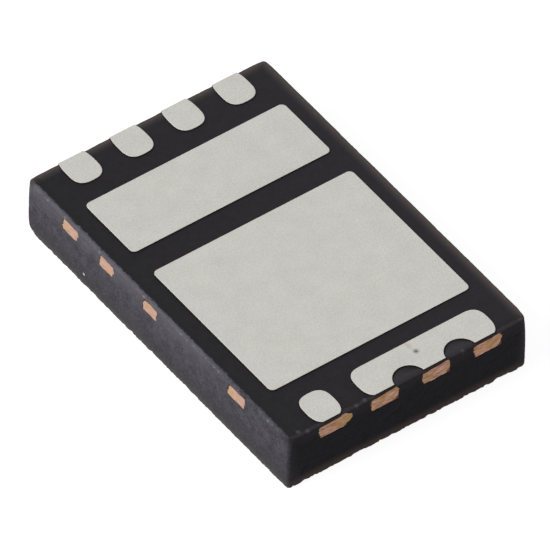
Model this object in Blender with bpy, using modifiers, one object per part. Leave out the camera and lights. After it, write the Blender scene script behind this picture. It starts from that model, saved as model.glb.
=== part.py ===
"""A dual MOSFET power package: a small leadless chip package, lying with its solder pads up.

An etched copper lead frame carries two chips, their solder, two formed copper clips and two gate
bond wires, and black epoxy is moulded round all of it. The strip of packages is then sawn apart, so
the ends of the leads and of the tie bars show as bare copper in the four sides. The lands and pads
on the open face are plated with matte tin.

+Z is up, out of the pad face. The origin is the middle of the flat marking face that it lies on.
+X runs across the pads, and +Y points at the end with four separate lands. The source lead with its
two notches is at the -Y end. Sizes are real ones, in metres.
"""

import math

import bmesh
import bpy
from mathutils import Matrix, Vector

MM = 0.001

# Moulded body
BODY_WIDTH = 3.024 * MM
BODY_LENGTH = 4.538 * MM
BODY_HEIGHT = 0.704 * MM
BODY_CORNER_RADIUS = 0.045 * MM
BODY_EDGE_BEVEL = 0.010 * MM

# Lead frame, etched from one copper sheet through a mask on each face. The mask on the chips' side sits
# off the other one by the etch offset, and the frame isn't quite centred between the saw cuts.
FRAME_THICKNESS = 0.190 * MM
HALF_ETCH_THICKNESS = 0.158 * MM
SHOULDER_DEPTH = 0.022 * MM
LEDGE_WIDTH = 0.080 * MM
ETCH_BULGE = 0.014 * MM
ETCH_CREST = 0.65
ETCH_OFFSET_X = 0.018 * MM
ETCH_OFFSET_Y = 0.027 * MM
BAR_RELIEF = 0.004 * MM
FRAME_SHIFT_X = 0.015 * MM
FRAME_SHIFT_Y = 0.014 * MM
# The cut copper lies this far inside the sawn sides of the moulding
SAW_STEP = 0.005 * MM

# Lands at the two ends
LANDS_PER_END = 4
LAND_PITCH = 0.65 * MM
LAND_WIDTH = 0.364 * MM
LAND_REACH = 0.419 * MM
LAND_INNER_HALF = 0.200 * MM
FAR_LAND_OUTER_HALF = 0.300 * MM
NEAR_LAND_OUTER_HALF = 0.232 * MM
LAND_SQUARENESS = 2.75
# A land ends this far inside the frame's own end line, unless the saw has cut it off before that
LAND_END_INSET = 0.0085 * MM
NOTCH_RADIUS = 0.185 * MM
NOTCH_REACH = 0.170 * MM

# Leads under the lands
LEAD_WIDTH = 0.330 * MM
LEAD_TAIL = 0.020 * MM
NECK_WIDTH = 0.240 * MM

# Large pads
PAD_SIDE_MARGIN = 0.249 * MM
PAD_CORNER_RADIUS = 0.062 * MM
LAND_TO_PAD = 0.232 * MM
DRAIN_PAD_LENGTH = 0.850 * MM
PAD_TO_PAD = 0.327 * MM

# Tie bars: how far each one's middle is inside the end of its pad, and its width
TIE_BAR_WIDTH = 0.209 * MM
DRAIN_FAR_BAR_INSET = 0.127 * MM
DRAIN_FAR_BAR_WIDTH = 0.233 * MM
DRAIN_NEAR_BAR_INSET = 0.090 * MM
SWITCH_FAR_BAR_INSET = 0.339 * MM
SWITCH_NEAR_BAR_INSET = 0.232 * MM
SWITCH_NEAR_BAR_WIDTH = 0.259 * MM

# Matte tin
TIN_THICKNESS = 0.012 * MM

# Chips, solder and clips
SOLDER_THICKNESS = 0.025 * MM
SOLDER_FILLET = 0.030 * MM
SOLDER_INSET = 0.040 * MM
DIE_THICKNESS = 0.120 * MM
DIE_MARGIN = 0.130 * MM
DIE_METAL_THICKNESS = 0.006 * MM
DIE_METAL_INSET = 0.060 * MM
HIGH_DIE_WIDTH = 1.90 * MM
HIGH_DIE_OFFSET = 0.10 * MM
LOW_DIE_WIDTH = 2.30 * MM
GATE_PAD_SIZE = 0.200 * MM
GATE_ZONE_WIDTH = 0.400 * MM
GATE_ZONE_LENGTH = 0.360 * MM
CLIP_THICKNESS = 0.127 * MM
CLIP_BEND_RADIUS = 0.050 * MM
CLIP_END_INSET = 0.080 * MM
CLIP_DIE_OVERHANG = 0.030 * MM
CLIP_FOOT_LENGTH = 0.230 * MM
CLIP_FOOT_INSET = 0.040 * MM
CLIP_SIDE_REACH = 0.060 * MM
CLIP_SLOT_WIDTH = 0.120 * MM
CLIP_SLOT_MARGIN = 0.220 * MM
LOW_CLIP_SLOTS = 2
FOOT_TO_DIE = 0.100 * MM

# Gate bond wires
WIRE_RADIUS = 0.019 * MM
WIRE_LOOP = 0.150 * MM
BALL_RADIUS = 0.042 * MM
BALL_HEIGHT = 0.018 * MM
STITCH_LENGTH = 0.110 * MM
STITCH_WIDTH = 0.070 * MM
STITCH_THICKNESS = 0.012 * MM
WIRE_STEPS = 16

# Pieces that touch in the real package are drawn this far apart
SEAT_GAP = 0.003 * MM
# A cutter runs this far past the side that it opens
OVERRUN = 0.050 * MM
# Pieces that are joined sink this far into each other
JOIN_DEPTH = 0.020 * MM
WELD_DISTANCE = 0.00001 * MM
ARC_STEPS = 8
SLOT_STEPS = 6

# Heights, from the marking face up
PAD_FACE = BODY_HEIGHT
DIE_SIDE = PAD_FACE - FRAME_THICKNESS
HALF_ETCH_TOP = DIE_SIDE + HALF_ETCH_THICKNESS
SHOULDER_TOP = PAD_FACE - SHOULDER_DEPTH
DIE_BACK = DIE_SIDE - SOLDER_THICKNESS - 2 * SEAT_GAP
DIE_FACE = DIE_BACK - DIE_THICKNESS
DIE_METAL_FACE = DIE_FACE - DIE_METAL_THICKNESS
CLIP_TOP = DIE_METAL_FACE - SOLDER_THICKNESS - 2 * SEAT_GAP
CLIP_FOOT_TOP = DIE_BACK

# Where the lead frame's own end lines and middle lie
FRAME_FAR = BODY_LENGTH / 2 + FRAME_SHIFT_Y
FRAME_NEAR = -BODY_LENGTH / 2 + FRAME_SHIFT_Y
PAD_HALF_WIDTH = BODY_WIDTH / 2 - PAD_SIDE_MARGIN
LEAD_X = [FRAME_SHIFT_X + (i - (LANDS_PER_END - 1) / 2) * LAND_PITCH for i in range(LANDS_PER_END)]
DRAIN_FAR = FRAME_FAR - LAND_REACH - LAND_TO_PAD
DRAIN_NEAR = DRAIN_FAR - DRAIN_PAD_LENGTH
SWITCH_FAR = DRAIN_NEAR - PAD_TO_PAD
SWITCH_NEAR = FRAME_NEAR + LAND_REACH + LAND_TO_PAD

# Where the chips and the clips' feet lie along Y
HIGH_DIE_FAR = DRAIN_FAR + LEDGE_WIDTH - DIE_MARGIN
HIGH_DIE_NEAR = DRAIN_NEAR - LEDGE_WIDTH + DIE_MARGIN
HIGH_FOOT_END = SWITCH_FAR + LEDGE_WIDTH - CLIP_FOOT_INSET - CLIP_FOOT_LENGTH
LOW_DIE_FAR = HIGH_FOOT_END - FOOT_TO_DIE
LOW_DIE_NEAR = SWITCH_NEAR - LEDGE_WIDTH + DIE_MARGIN
LOW_FOOT_END = FRAME_NEAR + LAND_REACH + LEAD_TAIL - CLIP_FOOT_INSET - CLIP_FOOT_LENGTH
HIGH_DIE_LEFT = FRAME_SHIFT_X + HIGH_DIE_OFFSET - HIGH_DIE_WIDTH / 2
HIGH_DIE_RIGHT = HIGH_DIE_LEFT + HIGH_DIE_WIDTH
LOW_DIE_LEFT = FRAME_SHIFT_X - LOW_DIE_WIDTH / 2
LOW_DIE_RIGHT = LOW_DIE_LEFT + LOW_DIE_WIDTH
LOW_CLIP_RIGHT = LEAD_X[-1] + CLIP_SIDE_REACH
LOW_FOOT_LEFT = LEAD_X[1] - CLIP_SIDE_REACH


def rectangle(left, right, near, far):
    return [(left, near), (right, near), (right, far), (left, far)]


def rounded_rectangle(left, right, near, far, radius):
    """A rectangle whose corners are quarter circles of this radius."""
    centres = [
        (right - radius, far - radius),
        (left + radius, far - radius),
        (left + radius, near + radius),
        (right - radius, near + radius),
    ]
    points = []
    for quarter, (x, y) in enumerate(centres):
        for step in range(ARC_STEPS + 1):
            angle = (quarter + step / ARC_STEPS) * math.pi / 2
            points.append((x + radius * math.cos(angle), y + radius * math.sin(angle)))
    return points


def land_side(edge, inward, grow):
    """One side of a land from its outer end to its inner tip, as (half width, y) points.

    The land is a superellipse. Its outer half is longer than its inner half and is cut off at edge.
    The far lands are the squarer ones at their outer ends.
    """
    frame_end = FRAME_FAR if inward < 0 else FRAME_NEAR
    middle = frame_end + inward * (LAND_REACH - LAND_INNER_HALF)
    half_width = LAND_WIDTH / 2 + grow
    power = 2 / LAND_SQUARENESS
    outer = (FAR_LAND_OUTER_HALF if inward < 0 else NEAR_LAND_OUTER_HALF) + grow
    inner = LAND_INNER_HALF + grow
    cut = min(1.0, abs(middle - edge) / outer)
    first = math.asin(cut ** (1 / power))
    points = []
    for step in range(ARC_STEPS):
        angle = first * (1 - step / ARC_STEPS)
        points.append((half_width * math.cos(angle) ** power, middle - inward * outer * math.sin(angle) ** power))
    for step in range(ARC_STEPS):
        angle = step / ARC_STEPS * math.pi / 2
        points.append((half_width * math.cos(angle) ** power, middle + inward * inner * math.sin(angle) ** power))
    points.append((0.0, middle + inward * inner))
    return points


def land_outline(x, edge, inward, grow=0.0):
    """The rounded land at x whose outer end is at y = edge. It points inward."""
    side = land_side(edge, inward, grow)
    right = [(x + half, y) for half, y in side]
    left = [(x - half, y) for half, y in reversed(side[:-1])]
    return right + left


def source_land_outline(edge, grow=0.0):
    """The three joined source lands: round outer shoulders, a straight inner edge and two round notches."""
    side = land_side(edge, 1, grow)
    left = [(LEAD_X[1] - half, y) for half, y in side]
    right = [(LEAD_X[-1] + half, y) for half, y in reversed(side)]
    points = left + right
    radius = NOTCH_RADIUS - grow
    centre_y = FRAME_NEAR + NOTCH_REACH - NOTCH_RADIUS
    for lead_x in reversed(LEAD_X[2:]):
        x = lead_x - LAND_PITCH / 2
        start = math.asin(max(-1.0, min(1.0, (edge - centre_y) / radius)))
        for step in range(2 * ARC_STEPS + 1):
            angle = start + (math.pi - 2 * start) * step / (2 * ARC_STEPS)
            points.append((x + radius * math.cos(angle), centre_y + radius * math.sin(angle)))
    return points


def slot_outline(left, right, y, width):
    """A straight slot with round ends, along X."""
    radius = width / 2
    points = []
    for x, turn in ((right - radius, -0.5), (left + radius, 0.5)):
        for step in range(SLOT_STEPS + 1):
            angle = (turn + step / SLOT_STEPS) * math.pi
            points.append((x + radius * math.cos(angle), y + radius * math.sin(angle)))
    return points


def mesh_object(name, mesh, placement):
    obj = bpy.data.objects.new(name, mesh)
    obj.matrix_world = placement
    work.objects.link(obj)
    return obj


def meshed(curve, placement):
    """A curve turned into a closed mesh object: its caps are welded to its sides."""
    drawn = bpy.data.objects.new("drawn", curve)
    work.objects.link(drawn)
    bpy.context.view_layer.update()
    graph = bpy.context.evaluated_depsgraph_get()
    mesh = bpy.data.meshes.new_from_object(drawn.evaluated_get(graph))
    bpy.data.objects.remove(drawn)
    form = bmesh.new()
    form.from_mesh(mesh)
    bmesh.ops.remove_doubles(form, verts=form.verts, dist=WELD_DISTANCE)
    bmesh.ops.recalc_face_normals(form, faces=form.faces)
    form.to_mesh(mesh)
    form.free()
    return mesh_object("piece", mesh, placement)


def extruded(outline, length, placement):
    """A flat outline, extruded by half of this length to each side of its plane."""
    curve = bpy.data.curves.new("outline", "CURVE")
    curve.dimensions = "2D"
    curve.fill_mode = "BOTH"
    curve.extrude = length / 2
    spline = curve.splines.new("POLY")
    spline.points.add(len(outline) - 1)
    for point, (x, y) in zip(spline.points, outline):
        point.co = (x, y, 0, 1)
    spline.use_cyclic_u = True
    return meshed(curve, placement)


def plate(outline, low, high):
    """An outline in plan, from height low to height high."""
    return extruded(outline, high - low, Matrix.Translation((0, 0, (low + high) / 2)))


def bar_along_x(section, start, end):
    """A section of (y, z) points, run along X."""
    turn = Matrix.Rotation(math.pi / 2, 4, "Z") @ Matrix.Rotation(math.pi / 2, 4, "X")
    return extruded(section, end - start, Matrix.Translation(((start + end) / 2, 0, 0)) @ turn)


def bar_along_y(section, start, end):
    """A section of (x, z) points, run along Y."""
    turn = Matrix.Rotation(math.pi / 2, 4, "X")
    return extruded(section, end - start, Matrix.Translation((0, (start + end) / 2, 0)) @ turn)


def etched_section(middle, width, low, high, offset, grow):
    """The section of an etched copper bar: its side walls stand out to a crest between its two faces.

    The lower face, which the chips' side mask made, sits off the upper one by offset.
    """
    face = width / 2 + grow
    bulge = face + ETCH_BULGE
    crest = low + (high - low) * ETCH_CREST
    crest_middle = middle + offset * (1 - ETCH_CREST)
    return [
        (middle + offset - face, low - grow),
        (middle + offset + face, low - grow),
        (crest_middle + bulge, crest),
        (middle + face, high + grow),
        (middle - face, high + grow),
        (crest_middle - bulge, crest),
    ]


def add_boolean(target, tool, operation):
    modifier = target.modifiers.new(operation.lower(), "BOOLEAN")
    modifier.solver = "EXACT"
    modifier.operation = operation
    modifier.object = tool


def baked(pieces, tools):
    """One closed mesh of the first piece, joined with the others and cut by the tools."""
    first = pieces[0]
    for piece in pieces[1:]:
        add_boolean(first, piece, "UNION")
    for tool in tools:
        add_boolean(first, tool, "DIFFERENCE")
    bpy.context.view_layer.update()
    graph = bpy.context.evaluated_depsgraph_get()
    mesh = bpy.data.meshes.new_from_object(first.evaluated_get(graph))
    placement = first.matrix_world.copy()
    for spent in list(pieces) + list(tools):
        bpy.data.objects.remove(spent)
    return mesh, placement


def saw_cut(half_size, grow):
    """How far from the middle the copper's cut end lies, or the outer end of the cutter for its place."""
    return half_size + OVERRUN if grow else half_size - SAW_STEP


def land_edge(inward, grow):
    """Where a land's outer end lies along Y.

    The saw cuts the far lands off. It misses the near ones, which keep a thin strip of moulding
    outside them.
    """
    own_end = BODY_LENGTH / 2 - inward * FRAME_SHIFT_Y - LAND_END_INSET + grow
    return -inward * min(saw_cut(BODY_LENGTH / 2, grow), own_end)


def lead_bar(x, inward, grow):
    """A lead's full-height copper, from the saw cut to just past its land. Its shoulders lie under the pad face."""
    outer = -inward * saw_cut(BODY_LENGTH / 2, grow)
    frame_end = -inward * BODY_LENGTH / 2 + FRAME_SHIFT_Y
    inner = frame_end + inward * (LAND_REACH + LEAD_TAIL + grow)
    section = etched_section(x, LEAD_WIDTH, DIE_SIDE, SHOULDER_TOP, ETCH_OFFSET_X, grow)
    return bar_along_y(section, min(outer, inner), max(outer, inner))


def land_step(outline, grow):
    """The top of a lead that reaches the pad face, with the land's own outline."""
    return plate(outline, SHOULDER_TOP - JOIN_DEPTH - grow, PAD_FACE + (OVERRUN if grow else 0.0))


def single_lead(x, inward, grow):
    outline = land_outline(x, land_edge(inward, grow), inward, grow)
    return [lead_bar(x, inward, grow), land_step(outline, grow)]


def tie_bar(side, y, width, grow):
    """A half-etched bar from a paddle's edge out through the package's side."""
    inner = FRAME_SHIFT_X + side * (PAD_HALF_WIDTH - JOIN_DEPTH)
    outer = side * saw_cut(BODY_WIDTH / 2, grow)
    low = DIE_SIDE + BAR_RELIEF
    section = etched_section(y, width, low, HALF_ETCH_TOP - BAR_RELIEF, ETCH_OFFSET_Y, grow)
    return bar_along_x(section, min(inner, outer), max(inner, outer))


def paddle(near, far, bars, grow):
    """A die paddle: the exposed pad, the half-etched ledge that locks it in the moulding, and its tie bars."""
    left = FRAME_SHIFT_X - PAD_HALF_WIDTH - grow
    right = FRAME_SHIFT_X + PAD_HALF_WIDTH + grow
    pad = rounded_rectangle(left, right, near - grow, far + grow, PAD_CORNER_RADIUS + grow)
    ledge = rounded_rectangle(
        left - LEDGE_WIDTH + ETCH_OFFSET_X,
        right + LEDGE_WIDTH + ETCH_OFFSET_X,
        near - grow - LEDGE_WIDTH + ETCH_OFFSET_Y,
        far + grow + LEDGE_WIDTH + ETCH_OFFSET_Y,
        PAD_CORNER_RADIUS + LEDGE_WIDTH / 2 + grow,
    )
    pieces = [
        plate(ledge, DIE_SIDE - grow, HALF_ETCH_TOP + grow),
        plate(pad, DIE_SIDE + JOIN_DEPTH, PAD_FACE + (OVERRUN if grow else 0.0)),
    ]
    for y, width in bars:
        pieces.append(tie_bar(-1, y, width, grow))
        pieces.append(tie_bar(1, y, width, grow))
    return pieces


def gate_1_lead(grow):
    return single_lead(LEAD_X[0], -1, grow), []


def gate_2_lead(grow):
    return single_lead(LEAD_X[0], 1, grow), []


def drain_1_paddle(grow):
    """The high side chip's paddle, with its three leads on half-etched necks."""
    bars = [
        (DRAIN_FAR - DRAIN_FAR_BAR_INSET, DRAIN_FAR_BAR_WIDTH),
        (DRAIN_NEAR + DRAIN_NEAR_BAR_INSET, TIE_BAR_WIDTH),
    ]
    pieces = paddle(DRAIN_NEAR, DRAIN_FAR, bars, grow)
    lead_end = FRAME_FAR - LAND_REACH
    low = DIE_SIDE + BAR_RELIEF
    for x in LEAD_X[1:]:
        section = etched_section(x, NECK_WIDTH, low, HALF_ETCH_TOP - BAR_RELIEF, ETCH_OFFSET_X, grow)
        pieces.append(bar_along_y(section, DRAIN_FAR - JOIN_DEPTH, lead_end + JOIN_DEPTH))
        pieces += single_lead(x, -1, grow)
    return pieces, []


def switch_node_paddle(grow):
    """The low side chip's paddle. The high side clip's foot also stands on it."""
    bars = [
        (SWITCH_FAR - SWITCH_FAR_BAR_INSET, TIE_BAR_WIDTH),
        (SWITCH_NEAR + SWITCH_NEAR_BAR_INSET, SWITCH_NEAR_BAR_WIDTH),
    ]
    return paddle(SWITCH_NEAR, SWITCH_FAR, bars, grow), []


def source_2_lead(grow):
    """Three leads joined by a bridge, under one land with two notches."""
    bridge = rectangle(
        LEAD_X[1] - LEAD_WIDTH / 2 - grow,
        LEAD_X[-1] + LEAD_WIDTH / 2 + grow,
        FRAME_NEAR + NOTCH_REACH - grow,
        FRAME_NEAR + LAND_REACH + LEAD_TAIL / 2 + grow,
    )
    pieces = [lead_bar(x, 1, grow) for x in LEAD_X[1:]]
    pieces.append(plate(bridge, DIE_SIDE + BAR_RELIEF - grow, SHOULDER_TOP - BAR_RELIEF + grow))
    pieces.append(land_step(source_land_outline(land_edge(1, grow), grow), grow))
    return pieces, []


def slab(left, right, near, far, low, high, grow):
    """A plain rectangular layer, larger by grow on all sides."""
    outline = rectangle(left - grow, right + grow, near - grow, far + grow)
    return plate(outline, low - grow, high + grow)


def die_attach(left, right, near, far, grow):
    top = DIE_SIDE - SEAT_GAP
    reach = SOLDER_FILLET + grow
    outline = rounded_rectangle(left - reach, right + reach, near - reach, far + reach, 2 * SOLDER_FILLET)
    return [plate(outline, top - SOLDER_THICKNESS - grow, top + grow)], []


def high_side_die_attach(grow):
    return die_attach(HIGH_DIE_LEFT, HIGH_DIE_RIGHT, HIGH_DIE_NEAR, HIGH_DIE_FAR, grow)


def low_side_die_attach(grow):
    return die_attach(LOW_DIE_LEFT, LOW_DIE_RIGHT, LOW_DIE_NEAR, LOW_DIE_FAR, grow)


def high_gate_pad():
    """The middle of the high side gate pad, in the die's corner next to the gate lead."""
    inset = DIE_METAL_INSET + GATE_PAD_SIZE / 2
    return HIGH_DIE_LEFT + inset, HIGH_DIE_FAR - inset


def low_gate_pad():
    inset = DIE_METAL_INSET + GATE_PAD_SIZE / 2
    return LOW_DIE_LEFT + inset, LOW_DIE_NEAR + inset


def gate_pad(centre, grow):
    x, y = centre
    half = GATE_PAD_SIZE / 2
    return slab(x - half, x + half, y - half, y + half, DIE_METAL_FACE, DIE_FACE + DIE_METAL_THICKNESS, grow)


def high_side_die(grow):
    """The silicon, with the raised metal of its gate pad and its source pad on the face away from the frame."""
    inset = DIE_METAL_INSET
    source = slab(
        HIGH_DIE_LEFT + GATE_ZONE_WIDTH,
        HIGH_DIE_RIGHT - inset,
        HIGH_DIE_NEAR + inset,
        HIGH_DIE_FAR - inset,
        DIE_METAL_FACE,
        DIE_FACE + DIE_METAL_THICKNESS,
        grow,
    )
    body = slab(HIGH_DIE_LEFT, HIGH_DIE_RIGHT, HIGH_DIE_NEAR, HIGH_DIE_FAR, DIE_FACE, DIE_BACK, grow)
    return [body, source, gate_pad(high_gate_pad(), grow)], []


def low_source_outline(inset, right, grow):
    """The low side source area less its gate corner, as a six-sided outline."""
    left = LOW_DIE_LEFT + inset - grow
    near = LOW_DIE_NEAR + inset - grow
    far = LOW_DIE_FAR - inset + grow
    corner_x = LOW_DIE_LEFT + GATE_ZONE_WIDTH + inset - grow
    corner_y = LOW_DIE_NEAR + GATE_ZONE_LENGTH + inset - grow
    return [
        (corner_x, near),
        (right + grow, near),
        (right + grow, far),
        (left, far),
        (left, corner_y),
        (corner_x, corner_y),
    ]


def low_side_die(grow):
    source = plate(
        low_source_outline(DIE_METAL_INSET, LOW_DIE_RIGHT - DIE_METAL_INSET, grow),
        DIE_METAL_FACE - grow,
        DIE_FACE + DIE_METAL_THICKNESS + grow,
    )
    body = slab(LOW_DIE_LEFT, LOW_DIE_RIGHT, LOW_DIE_NEAR, LOW_DIE_FAR, DIE_FACE, DIE_BACK, grow)
    return [body, source, gate_pad(low_gate_pad(), grow)], []


def rounded_path(points, radius):
    """A path of straight runs with an arc of this radius at each bend."""
    path = [Vector(points[0])]
    for before, at, after in zip(points, points[1:], points[2:]):
        back = (Vector(before) - Vector(at)).normalized()
        ahead = (Vector(after) - Vector(at)).normalized()
        half_angle = back.angle(ahead) / 2
        centre = Vector(at) + (back + ahead).normalized() * radius / math.sin(half_angle)
        start = Vector(at) + back * radius / math.tan(half_angle) - centre
        end = Vector(at) + ahead * radius / math.tan(half_angle) - centre
        for step in range(ARC_STEPS // 2 + 1):
            mixed = start.lerp(end, step / (ARC_STEPS // 2))
            path.append(centre + mixed.normalized() * radius)
    path.append(Vector(points[-1]))
    return path


def offset_path(path, distance):
    """The path moved sideways by distance, to the left of the way it runs."""
    moved = []
    for i, point in enumerate(path):
        into = (point - path[i - 1]).normalized() if i else (path[1] - point).normalized()
        out = (path[i + 1] - point).normalized() if i + 1 < len(path) else into
        along = (into + out).normalized()
        normal = Vector((-along.y, along.x))
        moved.append(point + normal * distance / max(0.5, into.dot(along)))
    return moved


def clip_section(far, bend, foot_end, grow):
    """The (y, z) section of a formed clip: flat on its die, then up a 45 degree step to its flat foot."""
    rise = CLIP_FOOT_TOP - CLIP_TOP
    middle = CLIP_THICKNESS / 2
    corners = [
        (far + grow, CLIP_TOP - middle),
        (bend, CLIP_TOP - middle),
        (bend - rise, CLIP_FOOT_TOP - middle),
        (foot_end - grow, CLIP_FOOT_TOP - middle),
    ]
    path = rounded_path(corners, CLIP_BEND_RADIUS + middle)
    upper = offset_path(path, -(middle + grow))
    lower = offset_path(path, middle + grow)
    return [(p.x, p.y) for p in upper + lower[::-1]]


def slot_cutter(left, right, y, grow):
    """A cutter for a slot in the flat of a clip. The moulding that fills it is narrower by grow all round."""
    outline = slot_outline(left + grow, right - grow, y, CLIP_SLOT_WIDTH - 2 * grow)
    return plate(outline, CLIP_TOP - CLIP_THICKNESS - OVERRUN, CLIP_TOP + OVERRUN)


def high_side_clip(grow):
    """Takes the high side source over to the switch-node paddle."""
    left = HIGH_DIE_LEFT + GATE_ZONE_WIDTH
    right = HIGH_DIE_RIGHT - CLIP_END_INSET
    section = clip_section(
        HIGH_DIE_FAR - CLIP_END_INSET, HIGH_DIE_NEAR - CLIP_DIE_OVERHANG, HIGH_FOOT_END, grow
    )
    slot_y = (HIGH_DIE_FAR + HIGH_DIE_NEAR) / 2
    slot = slot_cutter(left + CLIP_SLOT_MARGIN, right - CLIP_SLOT_MARGIN, slot_y, grow)
    return [bar_along_x(section, left - grow, right + grow)], [slot]


def low_side_clip(grow):
    """Takes the low side source over to the source lead. A corner is left out over the gate pad."""
    left = LOW_DIE_LEFT + CLIP_END_INSET
    section = clip_section(
        LOW_DIE_FAR - CLIP_END_INSET, LOW_DIE_NEAR - CLIP_DIE_OVERHANG, LOW_FOOT_END, grow
    )
    corner_far = LOW_DIE_NEAR + GATE_ZONE_LENGTH + CLIP_END_INSET
    corner = rectangle(left - OVERRUN, LOW_FOOT_LEFT - grow, LOW_FOOT_END - OVERRUN, corner_far - grow)
    tools = [plate(corner, CLIP_TOP - CLIP_THICKNESS - OVERRUN, CLIP_FOOT_TOP + OVERRUN)]
    clear_length = LOW_DIE_FAR - CLIP_END_INSET - corner_far
    for number in range(1, LOW_CLIP_SLOTS + 1):
        slot_y = corner_far + clear_length * number / (LOW_CLIP_SLOTS + 1)
        tools.append(slot_cutter(left + CLIP_SLOT_MARGIN, LOW_CLIP_RIGHT - CLIP_SLOT_MARGIN, slot_y, grow))
    return [bar_along_x(section, left - grow, LOW_CLIP_RIGHT + grow)], tools


def die_solder_heights(grow):
    top = DIE_METAL_FACE - SEAT_GAP
    return top - SOLDER_THICKNESS - grow, top + grow


def foot_solder_heights(grow):
    top = DIE_SIDE - SEAT_GAP
    return top - SOLDER_THICKNESS - grow, top + grow


def high_side_die_joint(grow):
    inset = SOLDER_INSET
    outline = rectangle(
        HIGH_DIE_LEFT + GATE_ZONE_WIDTH + inset - grow,
        HIGH_DIE_RIGHT - CLIP_END_INSET - inset + grow,
        HIGH_DIE_NEAR + CLIP_END_INSET - grow,
        HIGH_DIE_FAR - CLIP_END_INSET - inset + grow,
    )
    return [plate(outline, *die_solder_heights(grow))], []


def low_side_die_joint(grow):
    outline = low_source_outline(DIE_METAL_INSET + SOLDER_INSET, LOW_CLIP_RIGHT - SOLDER_INSET, grow)
    return [plate(outline, *die_solder_heights(grow))], []


def foot_joint(left, right, foot_end, grow):
    inset = SOLDER_INSET / 2
    outline = rectangle(
        left + inset - grow,
        right - inset + grow,
        foot_end + inset - grow,
        foot_end + CLIP_FOOT_LENGTH - inset + grow,
    )
    return [plate(outline, *foot_solder_heights(grow))], []


def high_side_foot_joint(grow):
    left = HIGH_DIE_LEFT + GATE_ZONE_WIDTH
    return foot_joint(left, HIGH_DIE_RIGHT - CLIP_END_INSET, HIGH_FOOT_END, grow)


def low_side_foot_joint(grow):
    return foot_joint(LOW_FOOT_LEFT, LOW_CLIP_RIGHT, LOW_FOOT_END, grow)


def cylinder(x, y, low, high, radius):
    """An upright round disc."""
    form = bmesh.new()
    bmesh.ops.create_cone(
        form, cap_ends=True, segments=4 * ARC_STEPS, radius1=radius, radius2=radius, depth=high - low
    )
    mesh = bpy.data.meshes.new("disc")
    form.to_mesh(mesh)
    form.free()
    return mesh_object("piece", mesh, Matrix.Translation((x, y, (low + high) / 2)))


def bond_wire(pad, lead, grow):
    """A gate bond wire: a ball on the die's pad, a loop, and a flattened stitch on the lead.

    The loop is one cubic Bezier curve that leaves the ball straight down and meets the lead at a slant.
    """
    ball_top = DIE_METAL_FACE - SEAT_GAP
    stitch_top = DIE_SIDE - SEAT_GAP
    start = Vector((pad[0], pad[1], ball_top - BALL_HEIGHT / 2))
    end = Vector((lead[0], lead[1], stitch_top - WIRE_RADIUS * 1.05))
    run = Vector((lead[0] - pad[0], lead[1] - pad[1], 0.0))
    leaving = start - Vector((0, 0, WIRE_LOOP))
    meeting = end - run * 0.45 - Vector((0, 0, WIRE_LOOP))
    end += run.normalized() * grow
    curve = bpy.data.curves.new("loop", "CURVE")
    curve.dimensions = "3D"
    curve.bevel_depth = WIRE_RADIUS + grow
    curve.bevel_resolution = 2
    curve.use_fill_caps = True
    spline = curve.splines.new("POLY")
    spline.points.add(WIRE_STEPS)
    for step, point in enumerate(spline.points):
        t = step / WIRE_STEPS
        at = (
            start * (1 - t) ** 3
            + leaving * 3 * t * (1 - t) ** 2
            + meeting * 3 * t**2 * (1 - t)
            + end * t**3
        )
        point.co = (*at, 1)
    loop = meshed(curve, Matrix.Identity(4))
    ball = cylinder(pad[0], pad[1], ball_top - BALL_HEIGHT - grow, ball_top + grow, BALL_RADIUS + grow)
    stitch_outline = rounded_rectangle(
        lead[0] - STITCH_WIDTH / 2 - grow,
        lead[0] + STITCH_WIDTH / 2 + grow,
        lead[1] - STITCH_LENGTH / 2 - grow,
        lead[1] + STITCH_LENGTH / 2 + grow,
        STITCH_WIDTH / 2,
    )
    stitch = plate(stitch_outline, stitch_top - STITCH_THICKNESS - grow, stitch_top + grow)
    return [ball, loop, stitch], []


def high_side_gate_wire(grow):
    return bond_wire(high_gate_pad(), (LEAD_X[0], FRAME_FAR - LAND_REACH / 2), grow)


def low_side_gate_wire(grow):
    return bond_wire(low_gate_pad(), (LEAD_X[0], FRAME_NEAR + LAND_REACH / 2), grow)


def material(name, colour, roughness, metallic):
    """A Principled material of one colour, given as linear red, green and blue."""
    made = bpy.data.materials.new(name)
    made.use_nodes = True
    shader = made.node_tree.nodes["Principled BSDF"]
    shader.inputs["Base Color"].default_value = (*colour, 1.0)
    shader.inputs["Roughness"].default_value = roughness
    shader.inputs["Metallic"].default_value = metallic
    made.diffuse_color = (*colour, 1.0)
    return made


def add_part(name, mesh, placement, look):
    obj = bpy.data.objects.new(name, mesh)
    obj.matrix_world = placement
    mesh.name = name
    mesh.materials.clear()
    mesh.materials.append(material(name, *look))
    parts.objects.link(obj)
    return obj


def add_encased(name, shape, look):
    """A piece inside the moulding, and a cutter for its place that is larger by the seat gap all round."""
    add_part(name, *baked(*shape(0.0)), look)
    mesh, placement = baked(*shape(SEAT_GAP))
    mesh.name = name + "_place"
    cutter = bpy.data.objects.new(name + "_place", mesh)
    cutter.matrix_world = placement
    cutter.hide_render = True
    cutter.display_type = "WIRE"
    cutters.objects.link(cutter)


def add_tin(name, outline):
    """The tin on one land, laid on the copper and standing just proud of the moulding."""
    low = PAD_FACE + SEAT_GAP
    mesh, placement = baked([plate(outline, low, low + TIN_THICKNESS)], [])
    add_part(name, mesh, placement, TIN)


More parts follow.
